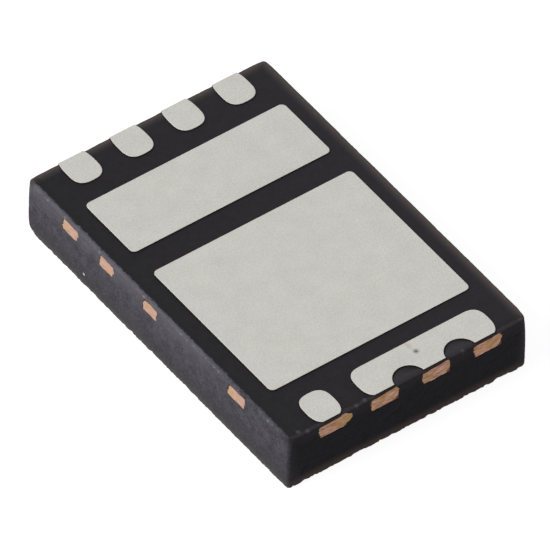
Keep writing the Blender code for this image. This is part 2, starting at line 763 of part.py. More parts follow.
def add_mould_body():
    """The moulded block with its sawn sides, cut open for everything that it holds."""
    half_width = BODY_WIDTH / 2
    half_length = BODY_LENGTH / 2
    outline = rounded_rectangle(-half_width, half_width, -half_length, half_length, BODY_CORNER_RADIUS)
    mesh, placement = baked([plate(outline, 0.0, BODY_HEIGHT)], [])
    body = add_part("mould_body", mesh, placement, EPOXY)
    arris = body.modifiers.new("arris", "BEVEL")
    arris.width = BODY_EDGE_BEVEL
    arris.segments = 2
    arris.limit_method = "ANGLE"
    arris.angle_limit = math.radians(60)
    arris.use_clamp_overlap = False
    places = body.modifiers.new("places", "BOOLEAN")
    places.solver = "EXACT"
    places.operation = "DIFFERENCE"
    places.operand_type = "COLLECTION"
    places.collection = cutters


def new_collection(name):
    collection = bpy.data.collections.new(name)
    bpy.context.scene.collection.children.link(collection)
    return collection


for old in list(bpy.data.objects):
    bpy.data.objects.remove(old)
work = new_collection("work")
parts = new_collection("dual_mosfet_package")
cutters = new_collection("mould_cutters")
cutters.hide_render = True

# Each finish: linear colour, roughness and metallic
EPOXY = ((0.022, 0.021, 0.024), 0.75, 0.0)
COPPER = ((0.62, 0.33, 0.22), 0.45, 1.0)
TIN = ((0.56, 0.55, 0.52), 0.60, 1.0)
SOLDER = ((0.42, 0.42, 0.43), 0.50, 1.0)
SILICON = ((0.10, 0.11, 0.13), 0.30, 0.6)
GOLD = ((0.90, 0.62, 0.22), 0.30, 1.0)

add_encased("gate_1_lead", gate_1_lead, COPPER)
add_encased("drain_1_paddle", drain_1_paddle, COPPER)
add_encased("switch_node_paddle", switch_node_paddle, COPPER)
add_encased("source_2_lead", source_2_lead, COPPER)
add_encased("gate_2_lead", gate_2_lead, COPPER)
add_encased("high_side_die_attach", high_side_die_attach, SOLDER)
add_encased("low_side_die_attach", low_side_die_attach, SOLDER)
add_encased("high_side_die", high_side_die, SILICON)
add_encased("low_side_die", low_side_die, SILICON)
add_encased("high_side_die_joint", high_side_die_joint, SOLDER)
add_encased("low_side_die_joint", low_side_die_joint, SOLDER)
add_encased("high_side_foot_joint", high_side_foot_joint, SOLDER)
add_encased("low_side_foot_joint", low_side_foot_joint, SOLDER)
add_encased("high_side_clip", high_side_clip, COPPER)
add_encased("low_side_clip", low_side_clip, COPPER)
add_encased("high_side_gate_wire", high_side_gate_wire, GOLD)
add_encased("low_side_gate_wire", low_side_gate_wire, GOLD)

far_edge = land_edge(-1, 0.0)
near_edge = land_edge(1, 0.0)
pad_left = FRAME_SHIFT_X - PAD_HALF_WIDTH
pad_right = FRAME_SHIFT_X + PAD_HALF_WIDTH
add_tin("gate_1_land", land_outline(LEAD_X[0], far_edge, -1))
for number, lead_x in enumerate(LEAD_X[1:], 1):
    add_tin(f"drain_1_land_{number}", land_outline(lead_x, far_edge, -1))
add_tin("drain_1_pad", rounded_rectangle(pad_left, pad_right, DRAIN_NEAR, DRAIN_FAR, PAD_CORNER_RADIUS))
add_tin("switch_node_pad", rounded_rectangle(pad_left, pad_right, SWITCH_NEAR, SWITCH_FAR, PAD_CORNER_RADIUS))
add_tin("source_2_land", source_land_outline(near_edge))
add_tin("gate_2_land", land_outline(LEAD_X[0], near_edge, 1))

add_mould_body()
bpy.data.collections.remove(work)
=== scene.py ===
"""The looks of a dual MOSFET power package, a leadless moulded chip that lies with its solder pads up.

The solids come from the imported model. +Z is out of the pad face, +X runs across the pads and +Y points
at the end with four separate lands. The floor is at Z 0, and lengths are metres unless a name says otherwise.
"""

import math

import bmesh
import bpy
import numpy as np
from mathutils import Matrix, Vector


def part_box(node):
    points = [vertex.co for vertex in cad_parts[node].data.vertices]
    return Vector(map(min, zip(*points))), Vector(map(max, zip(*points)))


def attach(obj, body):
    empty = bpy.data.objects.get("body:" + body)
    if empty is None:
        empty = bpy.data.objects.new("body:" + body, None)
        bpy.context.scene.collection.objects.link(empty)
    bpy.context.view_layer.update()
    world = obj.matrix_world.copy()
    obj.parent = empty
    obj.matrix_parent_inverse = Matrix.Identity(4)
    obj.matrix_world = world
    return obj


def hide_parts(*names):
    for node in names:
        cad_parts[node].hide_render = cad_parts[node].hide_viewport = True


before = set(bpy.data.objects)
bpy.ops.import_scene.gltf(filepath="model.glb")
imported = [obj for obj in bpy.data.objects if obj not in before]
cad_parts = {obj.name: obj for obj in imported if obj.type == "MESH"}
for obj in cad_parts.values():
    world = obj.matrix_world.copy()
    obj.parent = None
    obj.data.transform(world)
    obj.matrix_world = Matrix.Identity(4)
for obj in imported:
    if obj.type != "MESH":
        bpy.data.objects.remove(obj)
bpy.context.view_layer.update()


# Camera
# It looks down on the pads across the near left corner, from far away through a long lens, as a macro
# photograph of so small a thing does.

MM = 0.001
PHOTO_WIDTH = 550
FOCAL_PIXELS = 16916
SENSOR_WIDTH = 36
CAMERA_PLACE = Vector((-72.709, -95.367, 125.018)) * MM
CAMERA_AIM = Vector((-0.2467, -0.3052, 0.719)) * MM
CAMERA_ROLL = math.radians(1.43)

camera_data = bpy.data.cameras.new("camera")
camera_data.sensor_width = SENSOR_WIDTH
camera_data.lens = FOCAL_PIXELS * SENSOR_WIDTH / PHOTO_WIDTH
camera_data.clip_start = 10 * MM
camera_data.clip_end = 1000 * MM
camera = bpy.data.objects.new("camera", camera_data)
bpy.context.scene.collection.objects.link(camera)
looking = (CAMERA_AIM - CAMERA_PLACE).to_track_quat("-Z", "Y").to_matrix().to_4x4()
camera.matrix_world = Matrix.Translation(CAMERA_PLACE) @ looking @ Matrix.Rotation(CAMERA_ROLL, 4, "Z")
bpy.context.scene.camera = camera
bpy.context.scene.view_settings.view_transform = "Standard"


# Floor, backdrop and lamps
# A plain white sheet under and behind the part. A soft key lamp stands to its left and a little behind,
# so the left side is the bright one and the near side the dark one, with a weak soft fill from above.

FLOOR_HALF = 150 * MM
FLOOR_GREY = "#828282"
FLOOR_GLOW = 0.90
AMBIENT = 0.30
BACKDROP_WHITE = "#FFFFFF"


def linear(hex_colour):
    """An sRGB hex colour as linear red, green, blue and alpha."""
    channels = [int(hex_colour[start:start + 2], 16) / 255 for start in (1, 3, 5)]
    return [c / 12.92 if c <= 0.04045 else ((c + 0.055) / 1.055) ** 2.4 for c in channels] + [1.0]


def add_node(tree, kind, settings=None, inputs=None):
    """Adds one node. Settings are its own values; inputs are socket values, or sockets to link from."""
    node = tree.nodes.new(kind)
    for name, value in (settings or {}).items():
        setattr(node, name, value)
    for socket, value in (inputs or {}).items():
        if isinstance(value, bpy.types.NodeSocket):
            tree.links.new(value, node.inputs[socket])
        else:
            node.inputs[socket].default_value = value
    return node


def empty_material(name):
    """A material whose node tree is still empty, and that tree."""
    made = bpy.data.materials.new(name)
    made.use_nodes = True
    made.node_tree.nodes.clear()
    return made, made.node_tree


def seen_ray(tree):
    """1 for rays from the camera, a gloss or a clear body, which see the sheet as white, and 0 for light."""
    ray = add_node(tree, "ShaderNodeLightPath")
    gloss = add_node(
        tree, "ShaderNodeMath", {"operation": "MAXIMUM"},
        {0: ray.outputs["Is Glossy Ray"], 1: ray.outputs["Is Transmission Ray"]},
    )
    either = add_node(
        tree, "ShaderNodeMath", {"operation": "MAXIMUM"},
        {0: gloss.outputs[0], 1: ray.outputs["Is Camera Ray"]},
    )
    return either.outputs[0]


paper, tree = empty_material("white_sheet")
glow_strength = add_node(
    tree, "ShaderNodeMath", {"operation": "MULTIPLY"}, {0: seen_ray(tree), 1: FLOOR_GLOW}
)
glow = add_node(
    tree, "ShaderNodeEmission", None,
    {"Color": linear(BACKDROP_WHITE), "Strength": glow_strength.outputs[0]},
)
matt = add_node(
    tree, "ShaderNodeBsdfPrincipled", None,
    {"Base Color": linear(FLOOR_GREY), "Roughness": 1.0, "Specular IOR Level": 0.0},
)
both = add_node(tree, "ShaderNodeAddShader", None, {0: matt.outputs[0], 1: glow.outputs[0]})
add_node(tree, "ShaderNodeOutputMaterial", None, {"Surface": both.outputs[0]})

floor_mesh = bpy.data.meshes.new("floor")
floor_mesh.from_pydata(
    [(x * FLOOR_HALF, y * FLOOR_HALF, 0.0) for x, y in ((-1, -1), (1, -1), (1, 1), (-1, 1))],
    [], [(0, 1, 2, 3)],
)
floor_mesh.materials.append(paper)
floor = bpy.data.objects.new("floor", floor_mesh)
bpy.context.scene.collection.objects.link(floor)

world = bpy.data.worlds.new("backdrop")
world.use_nodes = True
world.node_tree.nodes.clear()
sky = world.node_tree
ambient_or_white = add_node(
    sky, "ShaderNodeMapRange", None, {"Value": seen_ray(sky), "To Min": AMBIENT, "To Max": 1.0}
)
air = add_node(
    sky, "ShaderNodeBackground", None,
    {"Color": linear(BACKDROP_WHITE), "Strength": ambient_or_white.outputs[0]},
)
add_node(sky, "ShaderNodeOutputWorld", None, {"Surface": air.outputs[0]})
bpy.context.scene.world = world


def add_lamp(name, place, size, level):
    """A square soft lamp that faces the part. Level 1 lights a white card that faces it to plain white."""
    distance = place.length
    data = bpy.data.lights.new(name, "AREA")
    data.size = size
    data.energy = level * math.pi ** 2 * distance ** 2
    lamp = bpy.data.objects.new(name, data)
    lamp.location = place
    lamp.rotation_mode = "QUATERNION"
    lamp.rotation_quaternion = (-place).to_track_quat("-Z", "Y")
    bpy.context.scene.collection.objects.link(lamp)


add_lamp("key", Vector((-95, 30, 75)) * MM, 70 * MM, 0.95)
add_lamp("fill", Vector((-20, 10, 160)) * MM, 120 * MM, 0.15)


# Moulded body
# Black epoxy moulding compound, transfer moulded over the lead frame and then sawn on its four sides. The
# pad face is smooth from the mould, the sawn sides are rough and show the ground silica grains, and
# tumbling has worn the upper arris and the corners. Its colour also holds painted light: painted shade on
# the near end and along the pad face's left and near edges, painted sheen along the far and right upper
# edges and in the notches, and one painted highlight in the second notch.

MICRON = 0.000001
MOULD_STEP = 12.5 * MICRON
MOULD_CORNER = 45 * MICRON
MOULD_SKIN = 0.4 * MICRON
LOWER_ARRIS = 9 * MICRON
UPPER_ARRIS_INWARD = 40 * MICRON
UPPER_ARRIS_DOWN = 15 * MICRON
ARRIS_STEPS = 5
# Depth in microns, length, height and seed of the sawn sides' waves, grain and grit
SIDE_RELIEF = [
    (2.0, 130 * MICRON, 110 * MICRON, 1),
    (2.0, 36 * MICRON, 34 * MICRON, 3),
    (1.3, MOULD_STEP, MOULD_STEP, 4),
]
# Holes of torn-out grains, with their depth in microns. They start where the noise passes HOLE_START
HOLE_DEPTH = 6.0
HOLE_LENGTH = 48 * MICRON
HOLE_HEIGHT = 42 * MICRON
HOLE_START = 0.84
HOLE_RANGE = 0.16
END_CHIP_DEPTH = 14 * MICRON
SIDE_CHIP_DEPTH = 8 * MICRON
CHIP_LENGTH = 60 * MICRON
CHIP_HEIGHT = 34 * MICRON
SMALL_CHIP_LENGTH = CHIP_LENGTH / 2.4
SMALL_CHIP_SHARE = 0.9
NICK_DEPTH = 10 * MICRON
NICK_LENGTH = 75 * MICRON
NICK_HEIGHT = 16 * MICRON
SMALL_NICK_LENGTH = NICK_LENGTH / 3
SMALL_NICK_SHARE = 0.5
CALM_REACH = 80 * MICRON
CALM_HEIGHT = 60 * MICRON
CALM_ALL_THE_WAY = 0.3
CALM_AT_TOP = 0.55
# The far and right sides are less rough, and their upper arris is less worn
SPARED_RELIEF_SHARE = 0.55
SPARED_ARRIS_SHARE = 0.4
CORNER_WEAR_REACH = 100 * MICRON
TOP_WEAR_FALL = 150 * MICRON
FOOT_WEAR_FALL = 60 * MICRON
WELD_DISTANCE = 0.02 * MICRON
SHARP_ANGLE = math.radians(50)

MOULD_HALF_X, MOULD_HALF_Y, MOULD_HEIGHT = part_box("mould_body")[1]
# Side in x, side in y, height, fall and depth of each worn corner
WORN_CORNERS = [
    (1, -1, MOULD_HEIGHT, TOP_WEAR_FALL, 30 * MICRON),
    (1, 1, MOULD_HEIGHT, TOP_WEAR_FALL, 16 * MICRON),
    (-1, 1, MOULD_HEIGHT, TOP_WEAR_FALL, 14 * MICRON),
    (-1, -1, MOULD_HEIGHT, TOP_WEAR_FALL, 58 * MICRON),
    (-1, 1, 0.0, FOOT_WEAR_FALL, 34 * MICRON),
]


def lattice_noise(along, length, up, cell_along, cell_up, seed):
    """Smooth random heights from 0 to 1 over (along, up), which close up after length.

    Random values on a lattice of cells, blended between neighbours with the step 3t^2 - 2t^3.
    """
    columns = max(3, round(length / cell_along))
    rows = int(np.ceil(up.max() / cell_up)) + 2
    table = np.random.default_rng(seed).random((rows, columns))
    u = along / length * columns
    v = up / cell_up
    column = np.floor(u).astype(int)
    row = np.floor(v).astype(int)
    s = u - column
    t = v - row
    s = s * s * (3 - 2 * s)
    t = t * t * (3 - 2 * t)
    left = column % columns
    right = (column + 1) % columns
    lower = table[row, left] * (1 - s) + table[row, right] * s
    upper = table[row + 1, left] * (1 - s) + table[row + 1, right] * s
    return lower * (1 - t) + upper * t


def edge_noise(along, length, cell, seed):
    """Lattice noise that varies only along, and is the same at every height."""
    return lattice_noise(along, length, along * 0, cell, 1.0, seed)


def body_path(half_x, half_y, radius, step):
    """A rounded rectangle as centres of its outline's curvature, outward directions and lengths along it.

    Each of the four sides is a straight run, where the centre moves, and then a quarter circle, where the
    direction turns. A point of the outline is centre + radius * direction.
    """
    inner = np.array([(1, -1), (1, 1), (-1, 1), (-1, -1)]) * (half_x - radius, half_y - radius)
    centres = []
    angles = []
    for side in range(4):
        start, end = inner[side], inner[(side + 1) % 4]
        runs = round(np.linalg.norm(end - start) / step)
        turns = max(4, round(radius * math.pi / 2 / step))
        share = np.arange(runs)[:, None] / runs
        centres.append(start + (end - start) * share)
        angles.append(np.full(runs, side * math.pi / 2))
        centres.append(np.repeat(end[None], turns, 0))
        angles.append((side + np.arange(turns) / turns) * math.pi / 2)
    centres = np.concatenate(centres)
    angles = np.concatenate(angles)
    outward = np.stack([np.cos(angles), np.sin(angles)], 1)
    points = centres + radius * outward
    steps = np.linalg.norm(np.roll(points, -1, 0) - points, axis=1)
    along = np.concatenate([[0.0], np.cumsum(steps)[:-1]])
    return centres, outward, along, steps.sum()


def sawn_block():
    """The moulded block's outer skin: its outline carried up a profile of inset against height.

    The profile rounds the lower arris with a quarter circle, climbs the side and rounds the upper arris
    with a quarter ellipse. The side is set back by its relief: waves, grain, grit and holes, all of them
    lattice noise, chips that fade up from the floor and nicks that fade down from the top, both by
    exp(-(distance / height)^2). All of it calms down at the corners, most of all at their tops, where the
    outline turns sharply. Each worn corner is then pushed in diagonally by its wear, which is
    depth * exp(-(distance / CORNER_WEAR_REACH)^2) * exp(-|height - worn height| / fall).
    """
    centres, outward, along, length = body_path(MOULD_HALF_X, MOULD_HALF_Y, MOULD_CORNER, MOULD_STEP)
    points = centres + MOULD_CORNER * outward
    turn = np.linspace(0, math.pi / 2, ARRIS_STEPS + 1)
    low_z = LOWER_ARRIS * (1 - np.cos(turn))
    low_inset = LOWER_ARRIS * (1 - np.sin(turn))
    high_z = MOULD_HEIGHT - UPPER_ARRIS_DOWN * (1 - np.sin(turn))
    high_inset = UPPER_ARRIS_INWARD * (1 - np.cos(turn))
    side_height = high_z[0] - low_z[-1]
    rows = round(side_height / MOULD_STEP)
    side_z = low_z[-1] + side_height * np.arange(1, rows) / rows
    height = np.concatenate([low_z, side_z, high_z])
    inset = np.concatenate([low_inset, np.zeros(rows - 1), high_inset])
    s, z = np.meshgrid(along, height)

    rough = sum(
        depth * lattice_noise(s, length, z, wide, high, seed) for depth, wide, high, seed in SIDE_RELIEF
    )
    hollow = lattice_noise(s, length, z, HOLE_LENGTH, HOLE_HEIGHT, 5)
    holes = HOLE_DEPTH * np.clip((hollow - HOLE_START) / HOLE_RANGE, 0, 1)
    relief = (rough + holes) * MICRON

    on_end = np.abs(points[:, 1]) > MOULD_HALF_Y - MOULD_CORNER / 2
    chip_depth = np.where(on_end, END_CHIP_DEPTH, SIDE_CHIP_DEPTH)
    chips = edge_noise(s, length, CHIP_LENGTH, 6) ** 3
    chips += SMALL_CHIP_SHARE * edge_noise(s, length, SMALL_CHIP_LENGTH, 7) ** 2
    nicks = edge_noise(s, length, NICK_LENGTH, 8) ** 2
    nicks += SMALL_NICK_SHARE * edge_noise(s, length, SMALL_NICK_LENGTH, 9) ** 2
    relief += chip_depth * chips * np.exp(-((z / CHIP_HEIGHT) ** 2))
    relief += NICK_DEPTH * nicks * np.exp(-(((MOULD_HEIGHT - z) / NICK_HEIGHT) ** 2))

    to_corner = np.hypot(MOULD_HALF_X - np.abs(points[:, 0]), MOULD_HALF_Y - np.abs(points[:, 1]))
    calm = CALM_ALL_THE_WAY + CALM_AT_TOP * np.exp(-(((MOULD_HEIGHT - z) / CALM_HEIGHT) ** 2))
    relief *= 1 - calm * np.exp(-((to_corner / CALM_REACH) ** 2))
    spared = np.clip(outward.sum(1), 0, 1)
    relief *= 1 - (1 - SPARED_RELIEF_SHARE) * spared
    arris_share = 1 - (1 - SPARED_ARRIS_SHARE) * spared

    set_back = inset[:, None] * np.where(z > MOULD_HEIGHT / 2, arris_share, 1) + relief + MOULD_SKIN
    reach = MOULD_CORNER - set_back
    x = centres[:, 0] + reach * outward[:, 0]
    y = centres[:, 1] + reach * outward[:, 1]
    for side_x, side_y, worn_height, fall, depth in WORN_CORNERS:
        distance = np.hypot(points[:, 0] - side_x * MOULD_HALF_X, points[:, 1] - side_y * MOULD_HALF_Y)
        worn = np.exp(-((distance / CORNER_WEAR_REACH) ** 2))
        push = depth * worn * np.exp(-np.abs(z - worn_height) / fall)
        x -= side_x * push * math.sqrt(0.5)
        y -= side_y * push * math.sqrt(0.5)
    z = np.clip(z, MOULD_SKIN, MOULD_HEIGHT - MOULD_SKIN)
    return np.stack([x, y, z], -1)


def mesh_from(name, points, corners, sizes):
    """A mesh from points, the faces' corners in one row, and the number of corners of each face."""
    mesh = bpy.data.meshes.new(name)
    mesh.vertices.add(len(points))
    mesh.vertices.foreach_set("co", np.asarray(points, np.float32).ravel())
    mesh.loops.add(len(corners))
    mesh.loops.foreach_set("vertex_index", np.asarray(corners, np.int32))
    mesh.polygons.add(len(sizes))
    starts = np.concatenate([[0], np.cumsum(sizes)[:-1]])
    mesh.polygons.foreach_set("loop_start", starts.astype(np.int32))
    mesh.update(calc_edges=True)
    mesh.validate()
    return mesh


def tube_mesh(name, rings):
    """A closed mesh from rings of points, bottom to top: quads between them and a flat face at each end."""
    count, around = rings.shape[:2]
    index = np.arange(count * around).reshape(count, around)
    here = index[:-1]
    above = index[1:]
    quads = np.stack([here, np.roll(here, -1, 1), np.roll(above, -1, 1), above], -1).reshape(-1, 4)
    corners = np.concatenate([quads.ravel(), index[0][::-1], index[-1]])
    return mesh_from(name, rings.reshape(-1, 3), corners, [4] * len(quads) + [around, around])


def linked(name, mesh):
    """A new object of the scene that shows the mesh."""
    obj = bpy.data.objects.new(name, mesh)
    bpy.context.scene.collection.objects.link(obj)
    return obj


def merged_copy(node):
    """A copy of a CAD node's mesh whose loose triangles are joined into one closed skin."""
    form = bmesh.new()
    form.from_mesh(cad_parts[node].data)
    bmesh.ops.remove_doubles(form, verts=form.verts, dist=WELD_DISTANCE)
    mesh = bpy.data.meshes.new(node + "_copy")
    form.to_mesh(mesh)
    form.free()
    mesh.materials.clear()
    return mesh


def inside_solid(skin, solid):
    """The part of a fine outer skin that lies inside a solid, with that solid's openings, as one mesh."""
    kept = linked("skin", skin)
    inside = kept.modifiers.new("inside", "BOOLEAN")
    inside.operation = "INTERSECT"
    inside.solver = "MANIFOLD"
    inside.object = linked("solid", solid)
    bpy.context.view_layer.update()
    graph = bpy.context.evaluated_depsgraph_get()
    mesh = bpy.data.meshes.new_from_object(kept.evaluated_get(graph))
    bpy.data.objects.remove(inside.object)
    bpy.data.objects.remove(kept)
    return mesh


def add_piece(name, mesh, look, nodes=()):
    """A finished piece of the package, which stands for the CAD nodes that are named."""
    piece = linked(name, mesh)
    mesh.name = name
    mesh.materials.clear()
    mesh.materials.append(look)
    mesh.shade_smooth()
    mesh.set_sharp_from_angle(angle=SHARP_ANGLE)
    weighting = piece.modifiers.new("flat_faces_rule", "WEIGHTED_NORMAL")
    weighting.keep_sharp = True
    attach(piece, "root")
    if nodes:
        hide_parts(*nodes)


def noise(tree, place, width, detail):
    """A noise pattern from 0 to 1 whose blobs are about as wide as given."""
    return add_node(
        tree, "ShaderNodeTexNoise", None,
        {"Vector": place, "Scale": 1 / width, "Detail": detail, "Roughness": 0.6},
    ).outputs["Fac"]


def ramp(tree, value, start, end, most=1.0, smooth=True):
    """A share that goes from 0 where the value is start to its most where the value is end."""
    return add_node(
        tree, "ShaderNodeMapRange", {"interpolation_type": "SMOOTHSTEP" if smooth else "LINEAR"},
        {"Value": value, "From Min": start, "From Max": end, "To Max": most},
    ).outputs[0]


def calculate(tree, operation, first, second):
    """The outcome of one sum on two values, each a number or the output of another node."""
    return add_node(tree, "ShaderNodeMath", {"operation": operation}, {0: first, 1: second}).outputs[0]


def blend(tree, share, first, second):
    """The colour between two colours, each a hex code or the output of another node."""
    colours = [linear(colour) if isinstance(colour, str) else colour for colour in (first, second)]
    return add_node(
        tree, "ShaderNodeMix", {"data_type": "RGBA"}, {0: share, 6: colours[0], 7: colours[1]}
    ).outputs[2]


def spot_share(tree, place, centre, size, core, most):
    """A share that is at its most within the core of a round or oval spot and 0 outside the spot.

    Centre and size are in metres, and a size of 0 leaves that direction out.
    """
    scale = [1 / length if length else 0.0 for length in size]
    shift = [-middle * factor for middle, factor in zip(centre, scale)]
    local = add_node(tree, "ShaderNodeMapping", None, {"Vector": place, "Location": shift, "Scale": scale})
    distance = add_node(tree, "ShaderNodeVectorMath", {"operation": "LENGTH"}, {0: local.outputs[0]})
    return ramp(tree, distance.outputs["Value"], 1.0, core, most)


PAD_FACE_DARK = "#141316"
PAD_FACE_LIGHT = "#221F24"
# Painted sheen: a paler brown drawn along the upper edges of the far and right sides
RIM_SHEEN_BROWN = "#4A4341"
SAWN_DARK = "#3A393F"
SAWN_LIGHT = "#535158"
SAWN_LOW = "#3E3A3D"
SAWN_HIGH = "#66636A"
GRAIN_LIGHT = "#737079"
FLECK_PALE = "#9A969D"
# Painted shade: the near end's colours below are darker copies of the sawn side's colours
SHADED_END_DARK = "#141318"
SHADED_END_LIGHT = "#211F26"
FOOT_BROWN = "#5F5853"
END_FOOT_BROWN = "#6A5D59"
# Painted shade, the near end's lighter top
SHADED_END_HIGH = "#312E32"
# Painted sheen in the shallow dimples of the notches
NOTCH_SHEEN_GREY = "#312E31"
# Pale filler specks, and one painted highlight in the second notch
SPECK_AND_GLINT_BLUE = "#5B5A66"
SPECK_WHITE = "#C8C6C4"
# Middles of the pale specks on the upper arris of the near end; the last is a painted highlight in the second
# notch
END_SPECKS_AND_GLINT = [(-1350, -2200), (-1262, -2246), (-650, -2250), (-537, -2231), (687, -2252)]
SPECK_SIZE = 36 * MICRON
# Filler grain on the side, larger than usual: 26 microns across
SIDE_SPECK = (-1510 * MICRON, 1267 * MICRON, 156 * MICRON)
SIDE_SPECK_SIZE = 22 * MICRON
NOTCH_CENTRES_X = (15 * MICRON, 665 * MICRON)
NOTCH_CENTRE_Y = -2270 * MICRON
NOTCH_SIZE = 190 * MICRON
# Each band says where a colour or pattern starts to come in, where it is full and, if below 1, its most
# share. These bands lie over the height
SIDE_LOW = (420 * MICRON, 170 * MICRON, 0.7)
SIDE_HIGH = (440 * MICRON, 650 * MICRON, 0.5)
SIDE_FOOT = (100 * MICRON, 8 * MICRON, 0.65)
END_UPPER = (520 * MICRON, 670 * MICRON)
END_FOOT = (155 * MICRON, 20 * MICRON, 0.92)
EDGE_HIGH = (480 * MICRON, 700 * MICRON)
EDGE_LOW = (420 * MICRON, 120 * MICRON)
FLECK_HIGH = (MOULD_HEIGHT - 45 * MICRON, MOULD_HEIGHT - 18 * MICRON)
ARRIS_HIGH = (MOULD_HEIGHT - 40 * MICRON, MOULD_HEIGHT - 15 * MICRON)
END_SPECK_HIGH = (640 * MICRON, 680 * MICRON)
# These lie over the distance from a side or corner, and SIDE_FAR over y
SIDE_FAR = (-1500 * MICRON, -500 * MICRON)
END_RIGHT = (110 * MICRON, 10 * MICRON, 0.4)
# Where the near end's painted shade starts and where it is full, across the near left corner
END_SHADE_CORNER = (100 * MICRON, -160 * MICRON)
EDGE_HIGH_SHIFT = 90 * MICRON
EDGE_LOW_SHIFT = 45 * MICRON
FLECKED_LENGTH = (40 * MICRON, 120 * MICRON)
# Where the painted sheen lies on the far and right upper arris and on the pad face beside it
SPARED_ARRIS_SHEEN = (130 * MICRON, 70 * MICRON)
SPARED_RIM_SHEEN = (135 * MICRON, 0.0, 0.85)
# Where the painted shade darkens the pad face towards its left and near edges
NEAR_EDGE_SHADE = (170 * MICRON, 30 * MICRON, 0.7)
SAWN_EDGE = (90 * MICRON, 64 * MICRON)
SAWN_FRAY = 60 * MICRON
# These lie over a noise, or over the distance from a fleck's middle
SIDE_MOTTLED = (0.67, 1.03)
GRAIN_SHOWS = (0.54, 0.80, 0.5)
FLECK_CORE = (0.38, 0.12)
FLECK_PICKED = (0.35, 0.95, 0.32)
FLECK_WIDTH = 60 * MICRON
# The pad face's tone is its contrast times mottle and grain, less its balance, plus a rise to the right
FACE_CONTRAST = 1.1
FACE_BALANCE = 1.39
FACE_RIGHT_SHARE = 0.5
COMPOUND_ROUGHNESS = 0.55
SAWN_ROUGHNESS = 0.25
COMPOUND_SHEEN_LEVEL = 0.13

# Filled epoxy is a matt black. Its silica grains are 5 to 30 microns wide; the finest are drawn at 16, so
# that they show as the grey salt of the sawn sides
compound, tree = empty_material("epoxy_moulding_compound")
place = add_node(tree, "ShaderNodeTexCoord").outputs["Object"]
x, y, z = add_node(tree, "ShaderNodeSeparateXYZ", None, {0: place}).outputs
to_right = calculate(tree, "SUBTRACT", MOULD_HALF_X, x)
to_left = calculate(tree, "ADD", x, MOULD_HALF_X)
to_far = calculate(tree, "SUBTRACT", MOULD_HALF_Y, y)
to_near = calculate(tree, "ADD", y, MOULD_HALF_Y)
to_long_side = calculate(tree, "MINIMUM", to_right, to_left)
to_side = calculate(tree, "MINIMUM", to_long_side, calculate(tree, "MINIMUM", to_far, to_near))
mottle = noise(tree, place, 120 * MICRON, 4.0)
small_mottle = noise(tree, place, 38 * MICRON, 2.0)
grain = noise(tree, place, 16 * MICRON, 1.0)

mixed_mottle = calculate(tree, "ADD", mottle, small_mottle)
side_mottle = calculate(tree, "ADD", mottle, calculate(tree, "MULTIPLY", small_mottle, 0.7))
mottle_share = ramp(tree, side_mottle, *SIDE_MOTTLED, smooth=False)
grain_share = ramp(tree, grain, *GRAIN_SHOWS, smooth=False)
long_mottled = blend(tree, mottle_share, SAWN_DARK, SAWN_LIGHT)
long_lower = blend(tree, ramp(tree, z, *SIDE_LOW), long_mottled, SAWN_LOW)
upper_share = calculate(tree, "MULTIPLY", ramp(tree, z, *SIDE_HIGH), ramp(tree, y, *SIDE_FAR))
long_upper = blend(tree, upper_share, long_lower, SAWN_HIGH)
long_grained = blend(tree, grain_share, long_upper, GRAIN_LIGHT)
long_side = blend(tree, ramp(tree, z, *SIDE_FOOT), long_grained, FOOT_BROWN)
# Painted shade: the near end is drawn darker than the long sides, lighter at its top, right corner and foot
shaded_end_mottled = blend(tree, mottle_share, SHADED_END_DARK, SHADED_END_LIGHT)
shaded_end_upper = blend(tree, ramp(tree, z, *END_UPPER), shaded_end_mottled, SHADED_END_HIGH)
shaded_end_right = blend(tree, ramp(tree, to_right, *END_RIGHT), shaded_end_upper, END_FOOT_BROWN)
shaded_near_end = blend(tree, ramp(tree, z, *END_FOOT), shaded_end_right, END_FOOT_BROWN)
high_up = calculate(tree, "MULTIPLY", ramp(tree, z, *EDGE_HIGH), EDGE_HIGH_SHIFT)
low_down = calculate(tree, "MULTIPLY", ramp(tree, z, *EDGE_LOW), EDGE_LOW_SHIFT)
edge_shift = calculate(tree, "SUBTRACT", low_down, high_up)
# The painted shade reaches round the near left corner onto the left side, further at the top and less far at
# the foot
from_corner = calculate(tree, "ADD", calculate(tree, "SUBTRACT", to_near, to_long_side), edge_shift)
side_colour = blend(tree, ramp(tree, from_corner, *END_SHADE_CORNER), long_side, shaded_near_end)

fleck = add_node(
    tree, "ShaderNodeTexVoronoi", {"feature": "F1"}, {"Vector": place, "Scale": 1 / FLECK_WIDTH}
)
fleck_core = ramp(tree, fleck.outputs["Distance"], *FLECK_CORE)
fleck_pick = add_node(tree, "ShaderNodeSeparateColor", None, {"Color": fleck.outputs["Color"]})
fleck_rare = ramp(tree, fleck_pick.outputs["Red"], *FLECK_PICKED, smooth=False)
fleck_high = ramp(tree, z, *FLECK_HIGH)
fleck_long = ramp(tree, from_corner, *FLECKED_LENGTH)
fleck_share = calculate(tree, "MULTIPLY", fleck_core, fleck_rare)
fleck_share = calculate(tree, "MULTIPLY", fleck_share, calculate(tree, "MULTIPLY", fleck_high, fleck_long))
flecked_side = blend(tree, fleck_share, side_colour, FLECK_PALE)
side_speck = spot_share(tree, place, SIDE_SPECK, (SIDE_SPECK_SIZE,) * 3, 0.5, 0.9)
specked_side = blend(tree, side_speck, flecked_side, SPECK_WHITE)
to_spared = calculate(tree, "MINIMUM", to_right, to_far)
# Painted sheen: the far and right upper arris drawn a paler brown
spared_arris_sheen = calculate(
    tree, "MULTIPLY", ramp(tree, to_spared, *SPARED_ARRIS_SHEEN), ramp(tree, z, *ARRIS_HIGH)
)
sawn_colour = blend(tree, spared_arris_sheen, specked_side, RIM_SHEEN_BROWN)

